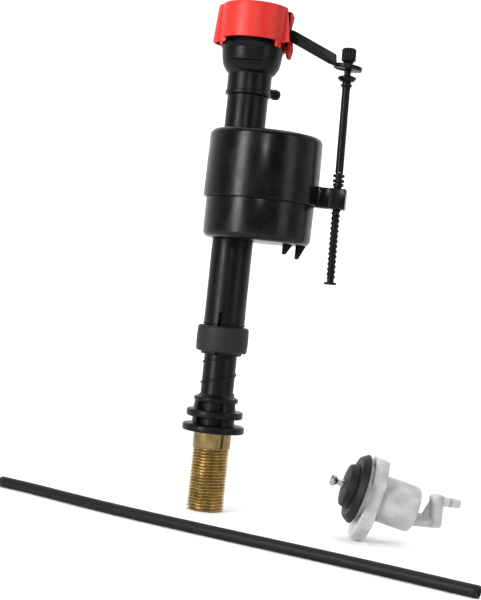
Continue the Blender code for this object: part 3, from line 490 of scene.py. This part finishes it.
# %% Red acetal, rubber and steel
red, red_shader = moulded("moulded_red_acetal", "#ad1f1a", "#c42b24", 0.42, 0.7, 0.04, 0.26)
red_shader.inputs["Subsurface Weight"].default_value = 0.12
red_shader.inputs["Subsurface Radius"].default_value = (1.2 * MM, 0.3 * MM, 0.2 * MM)
red_shader.inputs["Subsurface Scale"].default_value = 1
rubber, _ = moulded("moulded_nitrile_rubber", "#0b0b0c", "#131314", 0.5, 0.8, 0.04, 0.2)
steel, steel_shader = new_finish("turned_stainless_steel", {"Metallic": 1, "Base Color": colour("#a4a4a5")})
place = add_node(steel, "ShaderNodeTexCoord")
smear = add_node(steel, "ShaderNodeTexNoise", {"Vector": (place, "Object"), "Scale": 1 / (1.5 * MM)})
feed(steel, steel_shader, Roughness=add_node(steel, "ShaderNodeMapRange", {
    "Value": smear, "To Min": 0.12, "To Max": 0.38}))
print(red.name, rubber.name, steel.name)

# %% [markdown]
# The shank is machined from brass bar. Its thread is cut with a single-point tool, so each flank is bright,
# while the roots hold a browner film of oil and oxide. The plain band under the flange is turned: faint
# rings run round it, a third of a millimetre apart. The band's brass colour is about half as bright as the
# thread's. That darkening is painted shade for the dark side of the room that the band mirrors.

# %% Brass
def brass(name, pale, dark, film, roughness):
    """Machined brass. Film is how much of the browner colour shows."""
    finish, shader = new_finish(name, {"Metallic": 1})
    place = add_node(finish, "ShaderNodeTexCoord")
    rings = add_node(finish, "ShaderNodeTexNoise", {
        "Vector": add_node(finish, "ShaderNodeMapping", {
            "Vector": (place, "Object"), "Scale": (0.15, 0.15, 1)}),
        "Scale": 1 / (0.33 * MM), "Detail": 2})
    stain = add_node(finish, "ShaderNodeTexNoise", {"Vector": (place, "Object"), "Scale": 1 / (5 * MM),
                                                    "Detail": 5, "Roughness": 0.65})
    shade = add_node(finish, "ShaderNodeValToRGB", {"Fac": stain})
    ramp_stops(shade, (0.5 - film, colour(dark)), (0.75, colour(pale)))
    feed(finish, shader, Base_Color=shade,
         Roughness=add_node(finish, "ShaderNodeMapRange", {"Value": stain, "To Min": roughness + 0.08,
                                                           "To Max": roughness - 0.05}),
         Normal=add_node(finish, "ShaderNodeBump", {"Height": rings, "Strength": 0.3, "Distance": 0.03 * MM}))
    return finish


# Painted shade: the band's brass colours are darker than the thread's, standing for the dark room it mirrors.
turned_brass_painted_shade = brass("turned_brass_painted_shade", "#8a7750", "#675536", 0.2, 0.2)
cut_brass = brass("thread_cut_brass", "#c6b07c", "#8b764c", 0.15, 0.3)
print(turned_brass_painted_shade.name, cut_brass.name)

# %% [markdown]
# ## Threaded shank
# The shank is a 7/8 in. thread of fourteen turns to the inch, with a plain band where it meets the
# flange and a chamfer at its foot. The hidden spigot above the flange carries an O-ring.

# %% Shank
PITCH = 25.4 / 14
CREST, ROOT = 11.11, 10.0
THREAD_LOW, THREAD_HIGH, THREAD_CORE = -46.7, -9.6, 9.2
CHAMFER_SLOPE = 1.1
shank_thread = threaded([(ROOT, 0), (CREST, 0.42 * PITCH), (CREST, 0.56 * PITCH), (ROOT, PITCH)], PITCH,
                        THREAD_LOW, THREAD_HIGH, THREAD_CORE)
for vert in shank_thread.verts:
    reach = vert.co.xy.length
    limit = min(CREST, ROOT + (vert.co.z - FLOOR / MM) * CHAMFER_SLOPE)
    if reach > limit:
        vert.co.xy *= limit / reach
finished("shank_thread", shank_thread, cut_brass, "base")
shank = turned([(9, 12, 0.5), (9, 0.5), (11.3, 0.5), (11.3, -9.5, 0.25), (10.1, -9.9), (9.6, -10.2),
                (9.6, -46.4), (9.95, -46.8), (9.85, -47), (6.1, -47, 0.3), (5.75, -46.6), (5.75, 12, 0.3)])
finished("shank", shank, turned_brass_painted_shade, "base", "brass_shank")
finished("shank_seal_ring", turned([(9, 8.7, 0.65), (9, 7.3, 0.65), (7.6, 7.3, 0.65), (7.6, 8.7, 0.65)], 48),
         rubber, "base", "shank_o_ring")

# %% [markdown]
# ## Base and telescoping tube
# The base is one moulding: a tank flange, two thinner tiers above it, and the tube that the riser
# telescopes over. Three windows open each storey between the tiers, down to a round core. A low spiral
# ridge climbs the tube, and the riser climbs along it as it is turned, which sets the height.

# %% Base
RIDGE_PITCH = 12.25
RIDGE_FOOT, RIDGE_HEAD = 22.1, 156


def sector(inner, outer, low, high, start, sweep, steps=24):
    """Part of a ring, from an angle through a sweep."""
    shape = bmesh.new()
    face = shape.faces.new([shape.verts.new((r * cos(start), r * sin(start), z)) for r, z in (
        (inner, low), (outer, low), (outer, high), (inner, high))])
    bmesh.ops.spin(shape, geom=[face], cent=(0, 0, 0), axis=(0, 0, 1), angle=sweep, steps=steps)
    bmesh.ops.recalc_face_normals(shape, faces=shape.faces)
    return shape


base = turned([
    (9.75, 168, 0.6), (9.75, 22.4, 0.5), (11.4, 20.9, 0.4), (13.1, 20.3, 0.3), (13.4, 19.4, 0.3),
    (12.9, 17.9, 0.3), (12.6, 17.6), (13.2, 12.8, 0.2), (16.8, 12.8, 0.8), (16.8, 8.6, 0.8), (13.1, 8.6, 0.3),
    (13.1, 4.2, 0.3), (18.5, 4.2, 1.3), (18.5, 0, 0.7), (11.6, 0, 0.25), (11.6, 0.8), (9.3, 0.8), (9.3, 12.3),
    (7.75, 12.3), (7.75, 168, 0.4)], 128)
WINDOW_START, WINDOW_SWEEP = -133, 74
windows = [sector(10.4, 14.5, low, high, radians(WINDOW_START + 120 * k), radians(WINDOW_SWEEP))
           for k in range(3) for low, high in ((4.3, 8.5), (12.9, 17.7))]
base = carved(base, *windows)
ridge = bmesh.new()
section = [ridge.verts.new((r, 0, RIDGE_FOOT + z)) for r, z in
           rounded([(9.4, -0.85), (10.5, -0.45, 0.25), (10.5, 0.45, 0.25), (9.4, 0.85)])]
ridge_turns = (RIDGE_HEAD - RIDGE_FOOT) / RIDGE_PITCH
STEPS_A_TURN = 72
ridge_steps = int(STEPS_A_TURN * ridge_turns)
bmesh.ops.spin(ridge, geom=[ridge.faces.new(section)], cent=(0, 0, 0), axis=(0, 0, 1), steps=ridge_steps,
               dvec=(0, 0, (RIDGE_HEAD - RIDGE_FOOT) / ridge_steps), angle=2 * pi * ridge_turns)
bmesh.ops.recalc_face_normals(ridge, faces=ridge.faces)
finished("base_moulding", joined(base, ridge), black, "base", "base_tube")

# %% [markdown]
# ## Riser, lock ring and supply pipe
# The riser is a plain tube with four slots at its foot, which let it spring over the ridge, and a fine
# bead above the lock ring. The lock ring is a barrel-shaped band round the slotted foot, which it holds.
# The supply pipe runs inside the riser and ends in the valve seat under the cap.

# %% Riser and lock ring
RISER_R, RISER_BORE = 12.125, 11.05
RISER_LOW, RISER_HIGH = 45.9, 200.5
riser = turned([
    (RISER_R, RISER_HIGH, 0.3), (RISER_R, 64.9, 0.15), (12.5, 64.6, 0.15), (12.5, 63.9, 0.15), (RISER_R, 63.6),
    (RISER_R, RISER_LOW, 0.5), (RISER_BORE, RISER_LOW, 0.3), (RISER_BORE, RISER_HIGH, 0.3)], 128)
slots = [prism([(-1.65, 44), (1.65, 44), (1.65, 71.6, 1.6), (-1.65, 71.6, 1.6)], -14, -9.5, 0,
               about_z(k * pi / 2)) for k in range(4)]
finished("riser_moulding", carved(riser, *slots), black, "riser", "riser_tube")
finished("lock_band", turned([
    (15.1, 63, 1.5), (15.4, 57.5, 4), (15.4, 53, 4), (15.1, 47.5, 1.5), (12.5, 47.5, 0.4),
    (12.5, 63, 0.4)], 128), grey, "lock_collar", "lock_ring")

# %% Supply pipe with its seat
finished("supply_moulding", turned([
    (7.7, 232, 0.4), (8.5, 231.4, 0.4), (8.5, 229, 0.4), (6, 226, 0.4), (6, 67, 0.4), (7.45, 66.6, 0.2),
    (7.45, 64.6), (5.4, 64.6), (5.4, 61.7), (7.45, 61.7), (7.45, 60, 0.4), (4, 60, 0.4), (4, 231, 0.5)], 64),
    acetal, "riser", "supply_pipe")
finished("pipe_seal_ring", turned([(7.4, 64.05, 0.65), (7.4, 62.25, 0.65), (5.5, 62.25, 0.65),
                                   (5.5, 64.05, 0.65)], 48), rubber, "height_carriage", "pipe_o_ring")

# %% [markdown]
# ## Valve body
# The body's neck is a plain sleeve over the top of the riser, with a bead at its foot. Above the neck it
# flares to a bell, which is hollowed front and back under a raised band. The refill nipple leaves the
# neck to the right and somewhat backwards, and two small lugs at the rim hold the cap.

# %% Valve body
body = turned([
    (15, 238, 0.5), (15, 231.5, 0.3), (17.6, 230.6, 0.6), (18.2, 229, 0.8), (18, 226, 2), (17.6, 222, 2),
    (16.7, 218, 3), (14.6, 214.6, 2), (13.05, 213.2, 0.6), (13.05, 203.2, 0.15), (13.6, 202.9, 0.3),
    (13.6, 200.8, 0.4), (10.8, 200.8), (10.8, 193, 0.3), (9.6, 193, 0.3), (9.6, 213.2, 1), (11.3, 216.2, 1),
    (11.3, 224.5, 0.3), (6.3, 224.5), (6.3, 226.5), (13.2, 226.5, 0.4), (13.2, 238, 0.3)], 128)
HOLLOW_W, HOLLOW_OUT = 11.9, -24
cuts = [block((-HOLLOW_W, HOLLOW_OUT, low), (HOLLOW_W, face, high), rounding, about_z(turn))
        for turn in (0, pi)
        for face, low, high, rounding in ((-13.3, 214.4, 220.2, 0.8), (-15.5, 227.2, 232, 0.5))]
FLOW_R = 8.65
flow = [bar(1.5, (FLOW_R * cos(a), FLOW_R * sin(a), 221), (FLOW_R * cos(a), FLOW_R * sin(a), 229), sides=24)
        for a in (pi / 3 * k for k in range(6))]
body = carved(body, *cuts, *flow)
NIPPLE_TURN, NIPPLE_Z = radians(46), 204.9
nipple_place = about_z(NIPPLE_TURN) @ Matrix.Translation((0, 0, NIPPLE_Z)) @ Matrix.Rotation(pi / 2, 4, "Y")
nipple = turned([(1.6, 12.4), (1.6, 22.2, 0.2), (2.9, 22.2, 0.5), (3.3, 19.3, 0.3), (2.9, 18.9, 0.2),
                 (2.9, 12.4)], 40, nipple_place)
lugs = [block((-4, 13.4, 236), (4, 17.5, 237.9), 0.3, about_z(k * pi)) for k in range(2)]
finished("valve_moulding", joined(body, nipple, *lugs), black, "riser", "valve_body")

# %% Valve seal and its pin
finished("rubber_seal", turned([
    (12.9, 236.1, 0.3), (12.9, 233.9, 0.3), (11.5, 233.7, 0.3), (11.2, 234.3, 0.3), (8.5, 234.3, 0.2),
    (7.9, 233.1, 0.3), (1.2, 233.1), (1.2, 236.2, 0.2), (7, 236.2, 0.3), (8, 235.1, 0.3), (10.9, 235.1, 0.3),
    (11.5, 235.6, 0.3)], 64), rubber, "seal", "valve_seal")
finished("steel_pin", turned([
    (0, 238.1), (1.3, 238.1, 0.3), (1.7, 237.4, 0.2), (1.7, 236.5, 0.1), (0.9, 236.5), (0.9, 230.1, 0.2),
    (0.5, 229.5, 0.1), (0, 229.5)], 32), steel, "seal", "seal_pin")

# %% [markdown]
# ## Cap
# The red cap is a shallow round drum. It has a thumb lobe on the left, which is hollow and opens
# downwards, and two ears on the right that hold the lever's pivot. The back of its skirt reaches lower
# than the front.

# %% Cap shell
CAP_R, CAP_LOW, CAP_TOP = 20.5, 233, 254
PIVOT_X, PIVOT_Z = 17.5, 240.8
CAP_WALL = 2
LOBE_X = -13.5
drum = turned([(0, CAP_TOP), (CAP_R, CAP_TOP, 1.7), (CAP_R, CAP_LOW, 0.35), (CAP_R - CAP_WALL, CAP_LOW, 0.3),
               (CAP_R - CAP_WALL, CAP_TOP - CAP_WALL, 0.8), (0, CAP_TOP - CAP_WALL)], 160)
lobe = bar(11, (LOBE_X, 0, 230.6), (LOBE_X, 0, 253.4), 9.2, 1.0, 96)
shell = carved(drum, lobe, operation="UNION")
hollow = bar(9.7, (LOBE_X, 0, 226), (LOBE_X, 0, 251.8), 7.8, 0.6, 96)
hollow = carved(hollow, bar(19.9, (0, 0, 220), (0, 0, 260), sides=160))
shell = carved(shell, hollow)
shell = carved(shell, bar(18.49, (0, 0, 225), (0, 0, 251.9), sides=160),
               block((13.5, -5.5, 220), (30, 5.5, 260), 0))
print("cap shell:", len(shell.faces), "faces")

# %% Ears, skirt and tabs
front_ear = prism([(16, 233.4), (22.6, 233.3, 0.5), (19.4, 253.4, 1.2), (16, 253.6, 0.3)], -7.5, -5.5, 0.35)
rear_ear = prism([(16, 233), (19.1, 232.6, 0.4), (19.1, 227.4, 0.4), (20.2, 225.4, 0.4), (22.2, 225.4, 0.6),
                  (23.3, 231, 1), (21.1, 244, 2), (22.1, 250.8, 1.6), (20.4, 253.8, 1.4), (16, 253.8, 0.3)],
                 5.5, 7.5, 0.35)
skirt = sector(18.55, 20.4, 229, 234, radians(18), radians(150), 60)
tab = block((18.55, -2, 229.4), (20.4, 2, 234), 0.3, about_z(radians(-33)))
lugs = [block((-4, 15.7, 233.4), (4, 20, 235.6), 0.3, about_z(k * pi)) for k in range(2)]
cap = joined(shell, front_ear, rear_ear, skirt, tab, *lugs)
finished("red_cap", cap, red, "cap_body", "cap", crease=34)

# %% [markdown]
# ## Lever
# The lever pivots between the cap's ears on a moulded axle. Its flat bar droops to the right and ends in
# a round eye, slotted so that the rod can tilt in it. A finger on the inner side works the valve's pin.

# %% Lever
LEVER_LENGTH = 44.3
LEVER_DROOP, EYE_TILT = radians(25), radians(20)
lever_place = Matrix.Translation((PIVOT_X, 0, PIVOT_Z)) @ Matrix.Rotation(LEVER_DROOP, 4, "Y")
eye_place = lever_place @ Matrix.Translation((LEVER_LENGTH, 0, 0)) @ Matrix.Rotation(-EYE_TILT, 4, "Y")
arm = prism([(2, 2.4, 1), (6, 3.4, 2), (34.4, 3.4, 1), (36.8, -0.4, 0.6), (36.8, -2.9, 0.5), (32.6, -3.4, 1),
             (6, -3.4, 2), (2, -2.4, 1)], -1.25, 1.25, 0.35, lever_place)
hub = bar(3, (0, -5, 0), (0, 5, 0), rounding=0.4, lie=lever_place)
axle = bar(1.5, (0, -7.3, 0), (0, 7.3, 0), rounding=0.3, lie=lever_place)
finger = block((-18.9, -2.2, -1.5), (-1, 2.2, 1.5), 0.5, lever_place)
eye = carved(turned([(0, 1.3), (8.5, 1.3, 0.5), (8.5, -1.3, 0.5), (0, -1.3)], 72),
             *(bar(2.6, (x, 0, -5), (x, 0, 5)) for x in (-5, 0.6)), block((-5, -2.6, -5), (0.6, 2.6, 5)))
finished("lever_arm_moulding", joined(arm, hub, axle, finger, moved(eye, eye_place)), black,
         "lever_arm", "lever")

# %% [markdown]
# ## Level rod and its collar
# The float hangs from a long moulded rod. It has a fluted knob on top, a thin neck that the lever's eye
# holds, three stop collars, and a coarse thread below, which sets the water level. A small disc ends it.

# %% Rod
ROD_X, ROD_FOOT = 60.5, 94
ROD_LEAN = radians(1.28)
ROD_PITCH = 3.0
KNOB_R, FLUTES = 3.7, 14
rod_place = (Matrix.Translation((ROD_X, 0, ROD_FOOT)) @ Matrix.Rotation(-ROD_LEAN, 4, "Y")
             @ Matrix.Translation((0, 0, -ROD_FOOT)))
knob = turned([(0, 233.5), (KNOB_R, 233.5, 0.5), (3.75, 226.4, 0.6), (2.4, 223.8, 0.3), (2, 223.6),
               (2, 213.5), (0, 213.5)], 48)
flutes = [bar(0.55, (KNOB_R * cos(a), KNOB_R * sin(a), 226), (KNOB_R * cos(a), KNOB_R * sin(a), 232.9),
              rounding=0.25, sides=16) for a in (2 * pi * k / FLUTES for k in range(FLUTES))]
stem = turned([(0, 213.8), (2.6, 213.7, 0.3), (2.6, 212.5, 0.2), (3.3, 212.1, 0.2), (3.3, 211, 0.2),
               (2.6, 210.6, 0.2), (2.35, 209), (2.35, 160.5), (0, 160.5)], 48)
ribs = [block((1.6, -0.5, 159.8), (2.75, 0.5, 210.4), 0.25, about_z(k * pi / 2 + pi / 4)) for k in range(4)]
collars = [turned([(0, z + 0.9), (r, z + 0.8, 0.25), (r, z - 0.8, 0.25), (0, z - 0.9)], 48)
           for z, r in ((158.2, 3.4), (155.2, 3.4), (152.9, 3.2))]
core = turned([(0, 160), (2.05, 160), (2.05, 97.4, 0.2), (2, 95.4), (3.65, 95.5, 0.2),
               (3.65, ROD_FOOT, 0.3), (0, ROD_FOOT)], 48)
thread = threaded([(2.0, 0), (2.6, 0.9), (2.6, 1.5), (2.0, 2.4), (2.0, ROD_PITCH)], ROD_PITCH,
                  97.5, 152.2, 1.6, 40)
rod = joined(knob, *flutes, stem, *ribs, *collars, core, thread)
finished("rod_moulding", moved(rod, rod_place), black, "rod", "level_rod")

# %% Winged collar under the eye
wings = turned([(3.4, 217.2, 0.2), (5.4, 216.4, 0.3), (5.5, 215.6, 0.3), (4, 213.95, 0.3), (2.35, 213.95, 0.1),
                (2.35, 217.2, 0.1)], 48)
finished("winged_collar", moved(wings, rod_place), black, "rod_collar", "rod_swivel")

# %% [markdown]
# ## Float
# The float is two black cups pushed together, with a seam round the middle. It stands off-centre, with
# the riser running through a guide. The lower cup is a little narrower, and two fins hang under it.

# %% Upper and lower float
FLOAT_X, FLOAT_LOW, SEAM, FLOAT_TOP = 14, 115, 139, 179
GUIDE_R, GUIDE_BORE = 14.7, 13.2
off_centre = Matrix.Translation((FLOAT_X, 0, 0))
upper = turned([(0, FLOAT_TOP), (33.4, FLOAT_TOP, 3.6), (34, SEAM, 0.4), (32.3, SEAM, 0.2), (32.2, 177.2, 2),
                (0, 177.2)], 192, off_centre)
upper = carved(upper, bar(GUIDE_R, (0, 0, SEAM), (0, 0, 178), sides=96), operation="UNION")
upper = carved(upper, bar(GUIDE_BORE, (0, 0, 130), (0, 0, 190), sides=96))
finished("float_upper_cup", upper, float_black, "float", "float_upper", crease=40)
lower = turned([(31.9, 141.6, 0.3), (31.9, 138.7), (32.2, 138.7, 0.4), (31.9, FLOAT_LOW, 3.5), (0, FLOAT_LOW),
                (0, 116.8), (30.0, 116.8, 2), (30.1, 141.6, 0.3)], 192, off_centre)
lower = carved(lower, bar(GUIDE_R, (0, 0, 116), (0, 0, 138.7), sides=96), operation="UNION")
lower = carved(lower, bar(GUIDE_BORE, (0, 0, 110), (0, 0, 190), sides=96))
fins = [prism([(start, 116), (start, FLOAT_LOW - drop, 0.5), (start + 2.2, FLOAT_LOW - drop, 0.5),
               (start + 6.5, 116)], side - 0.9, side + 0.9, 0.3)
        for start, drop, side in ((30.5, 6, -3), (37.5, 8, 3))]
finished("float_lower_cup", joined(lower, *fins), float_black, "float", "float_lower", crease=40)

# %% Rod clip
CLIP_X, CLIP_LOW, CLIP_TOP = 59.7, 138.4, 150.6
grip = carved(block((CLIP_X - 4.9, -5, CLIP_LOW), (CLIP_X + 4.9, 5, CLIP_TOP), 0.7),
              bar(3.5, (CLIP_X, 0, 130), (CLIP_X, 0, 160)))
foot = block((47.2, -6, CLIP_LOW), (49.9, 6, CLIP_TOP), 0.4)
arms = [block((49.1, y, CLIP_LOW + 0.1), (CLIP_X - 3.9, y + 2.2, CLIP_TOP - 0.1), 0.4) for y in (-4, 1.8)]
finished("rod_clip", joined(grip, foot, *arms), float_black, "float", "float_clip")

# %% [markdown]
# ## Refill adaptor
# The adaptor is natural polypropylene: milky, cloudy and slightly see-through. Light enters it and spreads
# before it leaves, so it gets subsurface scattering of a few millimetres. Its flange is a plate with its
# corners cut off, and its outlet turns up in an elbow and ends in a barb. A black rubber seal sits on its
# open side, with the steel head of its pin in the middle.

# %% Natural polypropylene
milky, milky_shader = new_finish("moulded_natural_polypropylene", {
    "IOR": 1.49, "Subsurface Weight": 0.55, "Subsurface Radius": (3.5 * MM, 3.2 * MM, 2.6 * MM),
    "Subsurface Scale": 1.0})
place = add_node(milky, "ShaderNodeTexCoord")
cloud = add_node(milky, "ShaderNodeTexNoise", {"Vector": (place, "Object"), "Scale": 1 / (7 * MM), "Detail": 3})
grain = add_node(milky, "ShaderNodeTexNoise", {"Vector": (place, "Object"), "Scale": 1 / (0.6 * MM)})
shade = add_node(milky, "ShaderNodeValToRGB", {"Fac": cloud})
ramp_stops(shade, (0.35, colour("#9c9e9c")), (0.65, colour("#b1b3b2")))
feed(milky, milky_shader, Base_Color=shade,
     Roughness=add_node(milky, "ShaderNodeMapRange", {"Value": cloud, "To Min": 0.26, "To Max": 0.42}),
     Normal=add_node(milky, "ShaderNodeBump", {"Height": grain, "Strength": 0.25, "Distance": 0.02 * MM}))
print(milky.name)

# %% Adaptor cup, flange and elbow
ADAPTOR_AT = (102.5, -32.4, -22)
ADAPTOR_TURN, ADAPTOR_DROP = radians(13.4), radians(13.3)
PLATE_T = 8
adaptor_place = (Matrix.Translation(ADAPTOR_AT) @ about_z(ADAPTOR_TURN)
                 @ Matrix.Rotation(ADAPTOR_DROP, 4, "Y"))
along_x = Matrix.Rotation(pi / 2, 4, "Y")
cup = turned([(0, 22.5), (13.2, 22.5, 2.5), (13.2, -4), (11.4, -4), (11.4, 20.7, 1.5), (0, 20.7)], 96,
             adaptor_place @ along_x)
plate = carved(prism([(-15, -14, 1.5), (-6, -25.6, 1.5), (6, -25.6, 1.5), (15, -14, 1.5), (15, 9.4, 1.5),
                      (6, 21, 1.5), (-6, 21, 1.5), (-15, 9.4, 1.5)], -PLATE_T, 0, 0.7, about_z(pi / 2)),
               bar(11.4, (-20, 0, 0), (20, 0, 0), sides=96))
moved(plate, adaptor_place @ Matrix.Translation((-PLATE_T, 0, 0)))
step = turned([(16, -7), (16, -10.4, 0.4), (11.4, -10.4), (11.4, -7)], 96,
              adaptor_place @ Matrix.Translation((0, 0, 0.6)) @ along_x)
tilt = radians(13.5)
out, rise = Vector((cos(tilt), 0, sin(tilt))), Vector((-sin(tilt), 0, cos(tilt)))
corner = Vector((35.4, 0, -2.3))
leg = bar(3.9, corner - out * 15, corner + out * 2.3, rounding=2.4, lie=adaptor_place)
riser_leg = bar(4.3, corner - rise * 3.4, corner + rise * 15, 4.1, 1.4, lie=adaptor_place)
barb_root = corner + rise * 11.6
barb_way = Vector((cos(radians(10)), 0, sin(radians(10))))
barb = bar(3.1, barb_root, barb_root + barb_way * 8.9, 2.5, 0.15, lie=adaptor_place)
barb_tip = bar(2.7, barb_root + barb_way * 6.9, barb_root + barb_way * 13.7, 2.35, 0.6, lie=adaptor_place)
web = prism([(27.1, -1.5), (36.5, -1.5), (32.5, 9, 0.8), (29.5, 9, 0.8)], -2, 2, 0.6, adaptor_place)
finished("adaptor_moulding", joined(cup, plate, step, leg, riser_leg, barb, barb_tip, web), milky,
         "base", "adaptor_body")

# %% Adaptor seal and pin
seal_place = adaptor_place @ Matrix.Translation((0, 0, 1.1)) @ Matrix.Rotation(-pi / 2, 4, "Y")
finished("adaptor_rubber", turned([
    (2.7, 20.5, 0.3), (11.7, 19.4, 1), (13, 15.8, 0.5), (13, 15.2), (17.6, 15.0, 0.6), (20.1, 11.4, 0.8),
    (19.6, 10.7, 0.2), (2.7, 10.7)], 128, seal_place), rubber, "base", "adaptor_seal")
finished("adaptor_steel_pin", turned([
    (0, 28.2), (2.4, 28.1, 0.5), (3.2, 27.2, 0.3), (3.2, 25.6, 0.4), (1.7, 24.4, 0.4), (1.7, 23.8, 0.3),
    (2.35, 21.6, 0.2), (2.35, 8.7), (0, 8.7)], 48, seal_place), steel, "adaptor_plunger", "adaptor_pin")
